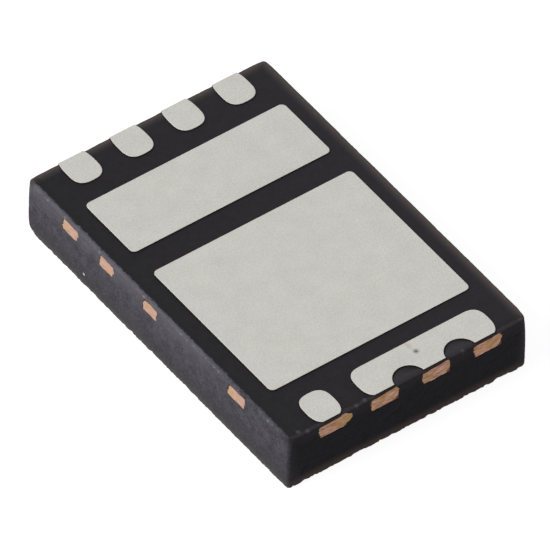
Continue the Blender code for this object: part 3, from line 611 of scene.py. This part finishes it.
across = ramp(tree, x, -MOULD_HALF_X, MOULD_HALF_X, FACE_RIGHT_SHARE, smooth=False)
face_tone = calculate(tree, "MULTIPLY", calculate(tree, "ADD", mixed_mottle, grain), FACE_CONTRAST)
face_share = calculate(tree, "ADD", calculate(tree, "SUBTRACT", face_tone, FACE_BALANCE), across)
face_colour = blend(tree, face_share, PAD_FACE_DARK, PAD_FACE_LIGHT)
# Painted sheen: the pad face turns the same paler brown towards its far and right edges
rim = ramp(tree, to_spared, *SPARED_RIM_SHEEN)
face_colour = blend(tree, rim, face_colour, RIM_SHEEN_BROWN)
# Painted shade: the pad face darkens towards its left and near edges
near_edge_shade = ramp(tree, calculate(tree, "MINIMUM", to_left, to_near), *NEAR_EDGE_SHADE)
face_colour = blend(tree, near_edge_shade, face_colour, PAD_FACE_DARK)
# Painted sheen: a paler grey disc in each notch's shallow dimple
for notch_x in NOTCH_CENTRES_X:
    notch_sheen = spot_share(tree, place, (notch_x, NOTCH_CENTRE_Y, 0), (NOTCH_SIZE, NOTCH_SIZE, 0), 0.9, 0.9)
    face_colour = blend(tree, notch_sheen, face_colour, NOTCH_SHEEN_GREY)
frayed_side = calculate(tree, "ADD", to_side, calculate(tree, "MULTIPLY", small_mottle, SAWN_FRAY))
sawn = ramp(tree, frayed_side, *SAWN_EDGE)
colour = blend(tree, sawn, face_colour, sawn_colour)
# Pale filler specks on the near end's upper arris; the last is a painted highlight in the second notch
for speck_x, speck_y in END_SPECKS_AND_GLINT:
    speck = spot_share(
        tree, place, (speck_x * MICRON, speck_y * MICRON, 0), (SPECK_SIZE, SPECK_SIZE, 0), 0.0, 0.5
    )
    high_speck_and_glint = calculate(tree, "MULTIPLY", speck, ramp(tree, z, *END_SPECK_HIGH))
    colour = blend(tree, high_speck_and_glint, colour, SPECK_AND_GLINT_BLUE)
bump = add_node(
    tree, "ShaderNodeBump", None, {"Strength": 0.5, "Distance": 1.0 * MICRON, "Height": grain}
)
roughness = calculate(tree, "ADD", COMPOUND_ROUGHNESS, calculate(tree, "MULTIPLY", sawn, SAWN_ROUGHNESS))
shader = add_node(
    tree, "ShaderNodeBsdfPrincipled", None,
    {
        "Base Color": colour,
        "Roughness": roughness,
        "Specular IOR Level": COMPOUND_SHEEN_LEVEL,
        "Normal": bump.outputs[0],
    },
)
add_node(tree, "ShaderNodeOutputMaterial", None, {"Surface": shader.outputs[0]})

mould_mesh = inside_solid(tube_mesh("skin", sawn_block()), merged_copy("mould_body"))
add_piece("moulded_body", mould_mesh, compound, ["mould_body"])


# Matte tin
# Electroplated over the exposed copper of every land and pad, so it has a soft rounded rim. It is a finely
# grained satin grey with faint clouds and no polish, and one land has a small pit with a brown stain. Its
# flank is drawn dark brown as painted shade.

TIN_STEP = 14 * MICRON
RIM_RADIUS = 6 * MICRON
RIM_STEPS = 3
TIN_WAVE = 0.5 * MICRON
TIN_WAVE_LENGTH = 140 * MICRON
PIT_X = 288 * MICRON
PIT_Y = -1997 * MICRON
PIT_RADIUS = 19 * MICRON
PIT_DEPTH = 3 * MICRON
PIT_STAIN = 50 * MICRON
STAIN_X = PIT_X - 20 * MICRON
STAIN_Y = -1890 * MICRON
STAIN_SIZE = (42 * MICRON, 95 * MICRON, 0)
CLOUD_SHARE = 0.35
TIN_TONES = (0.45, 0.90)
# Painted shade: the plating's flank starts to darken this far below its top and is dark this far below it
FLANK_SHADE_START = 1.2 * MICRON
FLANK_SHADE_FULL = 4 * MICRON
TIN_ROUGHNESS = 0.62
CRYSTAL_ROUGHNESS = 0.16
TIN_LIGHT = "#C2C1BC"
TIN_DARK = "#B1B0AB"
# Painted shade on the plating's flank
FLANK_SHADE_DARK = "#3C3532"
PIT_DARK = "#6C696F"
STAIN_BROWN = "#AA9888"


def upper_outline(node):
    """The outline of a CAD plate's upper face, anticlockwise from above."""
    form = bmesh.new()
    form.from_mesh(merged_copy(node))
    form.normal_update()
    after = {}
    for edge in form.edges:
        tops = [face for face in edge.link_faces if face.normal.z > 0.9]
        if len(tops) == 1:
            loop = next(corner for corner in tops[0].loops if corner.edge == edge)
            after[loop.vert.index] = loop.link_loop_next.vert.index
    form.verts.ensure_lookup_table()
    first = at = next(iter(after))
    outline = []
    while not outline or at != first:
        outline.append(form.verts[at].co[:2])
        at = after[at]
    form.free()
    return np.array(outline)


def rimmed_plate(node):
    """A plate with the node's outline whose upper rim is a quarter circle of RIM_RADIUS.

    Each ring is the outline moved inwards along the bisectors of its corners: by the inset over the
    cosine of half the corner's turn.
    """
    low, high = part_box(node)
    outline = upper_outline(node)
    ahead = np.roll(outline, -1, 0) - outline
    ahead /= np.linalg.norm(ahead, axis=1)[:, None]
    inward = np.stack([-ahead[:, 1], ahead[:, 0]], 1)
    bisector = inward + np.roll(inward, 1, 0)
    bisector /= (bisector ** 2).sum(1)[:, None] / 2
    turn = np.linspace(0, math.pi / 2, RIM_STEPS + 1)
    insets = np.concatenate([[0.0], RIM_RADIUS * (1 - np.cos(turn))])
    heights = np.concatenate([[low.z], high.z - RIM_RADIUS * (1 - np.sin(turn))])
    rings = [
        np.column_stack([outline + bisector * inset, np.full(len(outline), height)])
        for inset, height in zip(insets, heights)
    ]
    return tube_mesh(node, np.array(rings))


def grid_faces(rows, columns):
    """The quads of a grid of numbered points, and the numbers round its rim."""
    index = np.arange(rows * columns).reshape(rows, columns)
    quads = np.stack([index[:-1, :-1], index[:-1, 1:], index[1:, 1:], index[1:, :-1]], -1).reshape(-1, 4)
    rim = np.concatenate([index[0, :-1], index[:-1, -1], index[-1, :0:-1], index[:0:-1, 0]])
    return quads, rim


def plated_block(node, seed):
    """A block round the node whose top is the plating's gentle waves, sunk in the pit where that lies.

    Height = top - TIN_WAVE * noise - PIT_DEPTH * exp(-(distance from the pit / PIT_RADIUS)^2)
    """
    low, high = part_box(node)
    x = np.arange(low.x - TIN_STEP, high.x + 2 * TIN_STEP, TIN_STEP)
    y = np.arange(low.y - TIN_STEP, high.y + 2 * TIN_STEP, TIN_STEP)
    x, y = np.meshgrid(x, y)
    width = x[0, -1] - x[0, 0]
    waves = lattice_noise(x - x[0, 0], width, y - y[0, 0], TIN_WAVE_LENGTH, TIN_WAVE_LENGTH, seed)
    pit = np.exp(-((x - PIT_X) ** 2 + (y - PIT_Y) ** 2) / PIT_RADIUS ** 2)
    top = np.stack([x, y, high.z - TIN_WAVE * (0.1 + waves) - PIT_DEPTH * pit], -1)
    base = top.copy()
    base[..., 2] = low.z - RIM_RADIUS
    quads, rim = grid_faces(*x.shape)
    under = x.size + np.arange(len(rim))
    walls = np.stack([under, np.roll(under, -1), np.roll(rim, -1), rim], -1)
    points = np.concatenate([top.reshape(-1, 3), base.reshape(-1, 3)[rim]])
    corners = np.concatenate([quads.ravel(), walls.ravel(), under[::-1]])
    return mesh_from("plating", points, corners, [4] * (len(quads) + len(walls)) + [len(rim)])


# Matte tin is a satin grey: its fine crystals scatter the light, and nothing mirrors in it
tin, tree = empty_material("matte_tin_plating")
place = add_node(tree, "ShaderNodeTexCoord").outputs["Object"]
height = add_node(tree, "ShaderNodeSeparateXYZ", None, {0: place}).outputs["Z"]
crystal = noise(tree, place, 20 * MICRON, 2.0)
cloud = noise(tree, place, 240 * MICRON, 3.0)
tone = calculate(tree, "ADD", crystal, calculate(tree, "MULTIPLY", cloud, CLOUD_SHARE))
colour = blend(tree, ramp(tree, tone, *TIN_TONES, smooth=False), TIN_DARK, TIN_LIGHT)
stain = spot_share(tree, place, (STAIN_X, STAIN_Y, 0), STAIN_SIZE, 0.0, 0.5)
colour = blend(tree, stain, colour, STAIN_BROWN)
pit = spot_share(tree, place, (PIT_X, PIT_Y, 0), (PIT_STAIN, PIT_STAIN, 0), 0.0, 0.85)
colour = blend(tree, pit, colour, PIT_DARK)
tin_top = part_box("switch_node_pad")[1].z
# Painted shade: the flank below the plating's top is drawn dark
flank_shade = ramp(tree, height, tin_top - FLANK_SHADE_START, tin_top - FLANK_SHADE_FULL)
colour = blend(tree, flank_shade, colour, FLANK_SHADE_DARK)
roughness = calculate(tree, "ADD", TIN_ROUGHNESS, calculate(tree, "MULTIPLY", crystal, CRYSTAL_ROUGHNESS))
bump = add_node(
    tree, "ShaderNodeBump", None, {"Strength": 0.5, "Distance": 1.2 * MICRON, "Height": crystal}
)
shader = add_node(
    tree, "ShaderNodeBsdfPrincipled", None,
    {"Base Color": colour, "Metallic": 1.0, "Roughness": roughness, "Normal": bump.outputs[0]},
)
add_node(tree, "ShaderNodeOutputMaterial", None, {"Surface": shader.outputs[0]})

tinned = [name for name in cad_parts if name.endswith(("_land", "_pad")) or "_land_" in name]
for seed, node in enumerate(sorted(tinned), 20):
    plating = inside_solid(plated_block(node, seed), rimmed_plate(node))
    add_piece(node + "_plating", plating, tin, [node])


# Lead frame
# Etched copper, dull brown where it was etched. Only its sawn ends show. The blade smears the soft copper
# into a thin bright skin with ragged borders and drag marks, pinkish and yellowish in turn. In the near and
# far sides the skin is drawn darker than on the tie bars, as painted shade, with a few painted glints.

SMEAR_STEP = 6 * MICRON
SMEAR_BACK = 0.6 * MICRON
SMEAR_FRONT = 3.6 * MICRON
SMEAR_RELIEF = 1.6 * MICRON
SMEAR_FRAY = 22 * MICRON
FRAY_LENGTH = 26 * MICRON
EDGE_FRAY_LENGTH = FRAY_LENGTH * 1.5
# The noise closes up after this span, which is longer than any skin
FRAY_SPAN = 1000 * MICRON
MARK_LENGTH = 120 * MICRON
MARK_HEIGHT = 11 * MICRON
# Borders left bare within a cut end at its start, stop, foot and top; below 0, the blade dragged it past
BAR_BORDERS = (-7 * MICRON, 9 * MICRON, 9 * MICRON, -6 * MICRON)
NEAR_BORDERS = (3 * MICRON, 3 * MICRON, 8 * MICRON, -11 * MICRON)
FAR_BORDERS = (3 * MICRON, 3 * MICRON, 3 * MICRON, 3 * MICRON)
REACH_PEAK = 0.52
# How far a skin reaches on, is cut back at its foot and slants down at its top. The gate lead's skin is
# dragged well past its right end, where it is tarnished
NEAR_SHAPE = (10 * MICRON, 42 * MICRON, 20 * MICRON)
NEAR_GATE_SHAPE = (82 * MICRON, 42 * MICRON, 20 * MICRON)
PLAIN_SHAPE = (0, 0, 0)
TARNISHED_TIP = (-765 * MICRON, -2267 * MICRON, 610 * MICRON)
TARNISH_SIZE = 150 * MICRON
PLANE_REACH = 0.2 * MICRON
FRAME_DULL = "#6B4B3A"
FRAME_DULL_DARK = "#4E372B"
COPPER_PINK = "#C8A391"
COPPER_YELLOW = "#C4A06D"
COPPER_STREAK = "#A67C65"
# Painted shade: the ends in the near and far sides are drawn in darker copies of the tie bars' copper, and
# the glint is a painted highlight
SHADED_LEAD_PINK = "#A27A67"
SHADED_LEAD_YELLOW = "#957247"
SHADED_LEAD_STREAK = "#644A3C"
LEAD_GLINT = "#CFAE9D"
LEAD_TARNISH = "#967843"
# The colour's streaks are this long and this high, and each band is as on the moulding
DRAG_LENGTH = 80 * MICRON
DRAG_HEIGHT = 15 * MICRON
YELLOWED = (0.50, 0.66)
GLINTING = (0.56, 0.74, 0.6)
STREAKED = (0.50, 0.30, 0.9)
ON_END = (MOULD_HALF_Y - 60 * MICRON, MOULD_HALF_Y - 20 * MICRON)


def cut_ends(node, axis, side):
    """The cut ends of a node in one sawn side: heights, and the end's left and right limits at each.

    The edges that lie in the sawn plane cover the widths of the ends, so a width that no edge covers
    parts two ends.
    """
    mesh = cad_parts[node].data
    points = np.empty(len(mesh.vertices) * 3, np.float32)
    mesh.vertices.foreach_get("co", points)
    points = points.reshape(-1, 3).astype(float)
    edges = np.empty(len(mesh.edges) * 2, np.int32)
    mesh.edges.foreach_get("vertices", edges)
    edges = edges.reshape(-1, 2)
    plane = (points[:, axis] * side).max()
    in_plane = points[:, axis] * side > plane - PLANE_REACH
    across = points[:, 1 - axis]
    spans = np.sort(across[edges[in_plane[edges].all(1)]], 1)
    spans = spans[np.argsort(spans[:, 0])]
    covered = np.maximum.accumulate(spans[:, 1])
    first = np.concatenate([[True], spans[1:, 0] > covered[:-1] + MICRON])
    last = np.concatenate([first[1:], [True]])
    for low, high in zip(spans[first, 0], covered[last]):
        end = points[in_plane & (across >= low) & (across <= high)]
        level = np.round(end[:, 2] / MICRON).astype(int)
        heights = np.unique(level)
        left = [end[level == height, 1 - axis].min() for height in heights]
        right = [end[level == height, 1 - axis].max() for height in heights]
        yield plane * side, heights * MICRON, np.array(left), np.array(right)


def smear_mesh(node, axis, side, borders, shape, seed):
    """The smeared skins over the cut ends of a node in one side, each a closed plate with a ragged outline.

    Across a plate, u runs from its start to its stop and v up it. The limits are the cut end's, less the
    borders and moved by lattice noise. The stop also bulges out, most where v is REACH_PEAK, and falls
    back at the foot, and the top slants down to the start. The front stands SMEAR_FRONT out, less the
    drag marks.
    """
    start_border, stop_border, foot_border, top_border = borders
    top_reach, foot_cut, top_slant = shape
    points = []
    corners = []
    sizes = []
    for number, (plane, heights, left, right) in enumerate(cut_ends(node, axis, side)):
        columns = round((right.max() - left.min()) / SMEAR_STEP)
        rows = round((heights[-1] - heights[0]) / SMEAR_STEP)
        u, v = np.meshgrid(np.linspace(0, 1, columns + 1), np.linspace(0, 1, rows + 1))
        foot = heights[0] + foot_border
        z = foot + (heights[-1] - top_border - foot) * v
        key = seed + 10 * number
        fray_left = lattice_noise(z * 0, FRAY_SPAN, z, FRAY_SPAN, FRAY_LENGTH, key) - 0.5
        fray_right = lattice_noise(z * 0, FRAY_SPAN, z, FRAY_SPAN, FRAY_LENGTH, key + 1) - 0.5
        start = np.interp(z, heights, left) + start_border + SMEAR_FRAY * fray_left
        stop = np.interp(z, heights, right) - stop_border + SMEAR_FRAY * fray_right
        stop += top_reach * (1 - (v / REACH_PEAK - 1) ** 2) - foot_cut * (1 - v) ** 2
        across = start + (stop - start) * u
        shift = across - across.min()
        fray_foot = edge_noise(shift, FRAY_SPAN, EDGE_FRAY_LENGTH, key + 2) - 0.5
        fray_top = edge_noise(shift, FRAY_SPAN, EDGE_FRAY_LENGTH, key + 4) - 0.5
        z = z + SMEAR_FRAY / 2 * (fray_foot * (1 - v) + fray_top * v) - top_slant * (1 - u) * v
        marks = lattice_noise(shift, FRAY_SPAN, z - z.min(), MARK_LENGTH, MARK_HEIGHT, key + 3)
        face = np.zeros(u.shape + (3,))
        face[..., 1 - axis] = across
        face[..., axis] = plane + side * (SMEAR_FRONT - SMEAR_RELIEF * marks)
        face[..., 2] = z
        back = face.copy()
        back[..., axis] = plane + side * SMEAR_BACK
        quads, rim = grid_faces(*u.shape)
        under = u.size + rim
        walls = np.stack([under, np.roll(under, -1), np.roll(rim, -1), rim], -1)
        faces = np.concatenate([quads, quads[:, ::-1] + u.size, walls])
        if (side > 0) == (axis == 1):
            faces = faces[:, ::-1]
        first = sum(len(part) for part in points)
        points += [face.reshape(-1, 3), back.reshape(-1, 3)]
        corners.append(faces.ravel() + first)
        sizes += [4] * len(faces)
    return mesh_from("smear", np.concatenate(points), np.concatenate(corners), sizes)


# Etched copper is a dull brown, finely mottled by the acid
dull, tree = empty_material("etched_frame_copper")
place = add_node(tree, "ShaderNodeTexCoord").outputs["Object"]
etched = noise(tree, place, 40 * MICRON, 3.0)
shader = add_node(
    tree, "ShaderNodeBsdfPrincipled", None,
    {"Base Color": blend(tree, etched, FRAME_DULL_DARK, FRAME_DULL), "Metallic": 1.0, "Roughness": 0.6},
)
add_node(tree, "ShaderNodeOutputMaterial", None, {"Surface": shader.outputs[0]})
framed = [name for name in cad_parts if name.endswith(("_lead", "_paddle"))]
for node in framed:
    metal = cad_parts[node].data
    metal.materials.clear()
    metal.materials.append(dull)

# Sawn copper is bright where the blade wiped it, with darker streaks along its travel. In the near and far
# sides it is drawn darker than on the tie bars, as painted shade, with a few painted glints
copper, tree = empty_material("sawn_frame_copper")
place = add_node(tree, "ShaderNodeTexCoord").outputs["Object"]
y, z = add_node(tree, "ShaderNodeSeparateXYZ", None, {0: place}).outputs[1:]
tint = ramp(tree, noise(tree, place, 130 * MICRON, 2.0), *YELLOWED, smooth=False)
drag_space = add_node(
    tree, "ShaderNodeMapping", None,
    {"Vector": place, "Scale": (1 / DRAG_LENGTH, 1 / DRAG_LENGTH, 1 / DRAG_HEIGHT)},
)
drag = noise(tree, drag_space.outputs[0], 1.0, 3.0)
on_end = ramp(tree, calculate(tree, "ABSOLUTE", y, 0), *ON_END)
clear = blend(
    tree, on_end, blend(tree, tint, COPPER_PINK, COPPER_YELLOW), blend(tree, tint, SHADED_LEAD_PINK, SHADED_LEAD_YELLOW)
)
# Painted highlight: glints in the drag streaks of the ends in the near and far sides
glint = calculate(tree, "MULTIPLY", on_end, ramp(tree, drag, *GLINTING, smooth=False))
clear = blend(tree, glint, clear, LEAD_GLINT)
tarnish = spot_share(tree, place, TARNISHED_TIP, (TARNISH_SIZE,) * 3, 0.1, 0.8)
clear = blend(tree, tarnish, clear, LEAD_TARNISH)
streak = blend(tree, on_end, COPPER_STREAK, SHADED_LEAD_STREAK)
streaked = blend(tree, ramp(tree, drag, *STREAKED, smooth=False), clear, streak)
bump = add_node(
    tree, "ShaderNodeBump", None, {"Strength": 0.5, "Distance": 1.5 * MICRON, "Height": drag}
)
shader = add_node(
    tree, "ShaderNodeBsdfPrincipled", None,
    {"Base Color": streaked, "Metallic": 1.0, "Roughness": 0.5, "Normal": bump.outputs[0]},
)
add_node(tree, "ShaderNodeOutputMaterial", None, {"Surface": shader.outputs[0]})

# Piece, node, the axis and side of its sawn ends, and the borders and shape of their skins
SAWN_SIDES = [
    ("near_source_ends", "source_2_lead", 1, -1, NEAR_BORDERS, NEAR_SHAPE),
    ("near_gate_end", "gate_2_lead", 1, -1, NEAR_BORDERS, NEAR_GATE_SHAPE),
    ("far_drain_ends", "drain_1_paddle", 1, 1, FAR_BORDERS, PLAIN_SHAPE),
    ("far_gate_end", "gate_1_lead", 1, 1, FAR_BORDERS, PLAIN_SHAPE),
    ("left_drain_bars", "drain_1_paddle", 0, -1, BAR_BORDERS, PLAIN_SHAPE),
    ("right_drain_bars", "drain_1_paddle", 0, 1, BAR_BORDERS, PLAIN_SHAPE),
    ("left_switch_bars", "switch_node_paddle", 0, -1, BAR_BORDERS, PLAIN_SHAPE),
    ("right_switch_bars", "switch_node_paddle", 0, 1, BAR_BORDERS, PLAIN_SHAPE),
]
for number, (name, *ends) in enumerate(SAWN_SIDES, 1):
    add_piece(name, smear_mesh(*ends, 100 * number), copper)


# Chips, solder, clips and bond wires
# All of them are sealed in the moulding, so nothing of them shows. The chips are dark polished silicon, the
# solder is a dull grained grey, the clips are formed copper strip and the wires are gold.

# Finish, ends of the nodes' names, dark and light colour, metallic, roughness and width of its clouds
SEALED_FINISHES = [
    ("die_silicon", ("_die",), "#3F434B", "#555961", 0.6, 0.30, 60 * MICRON),
    ("die_solder", ("_attach", "_joint"), "#8E8E90", "#A9A9A8", 1.0, 0.50, 45 * MICRON),
    ("formed_clip_copper", ("_clip",), "#B97D5E", "#C98E6C", 1.0, 0.42, 150 * MICRON),
    ("bond_wire_gold", ("_wire",), "#DDB052", "#E8C06A", 1.0, 0.28, 30 * MICRON),
]
for finish, endings, dark, light, metallic, roughness, width in SEALED_FINISHES:
    look, tree = empty_material(finish)
    place = add_node(tree, "ShaderNodeTexCoord").outputs["Object"]
    shader = add_node(
        tree, "ShaderNodeBsdfPrincipled", None,
        {
            "Base Color": blend(tree, noise(tree, place, width, 3.0), dark, light),
            "Metallic": metallic,
            "Roughness": roughness,
        },
    )
    add_node(tree, "ShaderNodeOutputMaterial", None, {"Surface": shader.outputs[0]})
    for name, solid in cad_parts.items():
        if name.endswith(endings):
            solid.data.materials.clear()
            solid.data.materials.append(look)
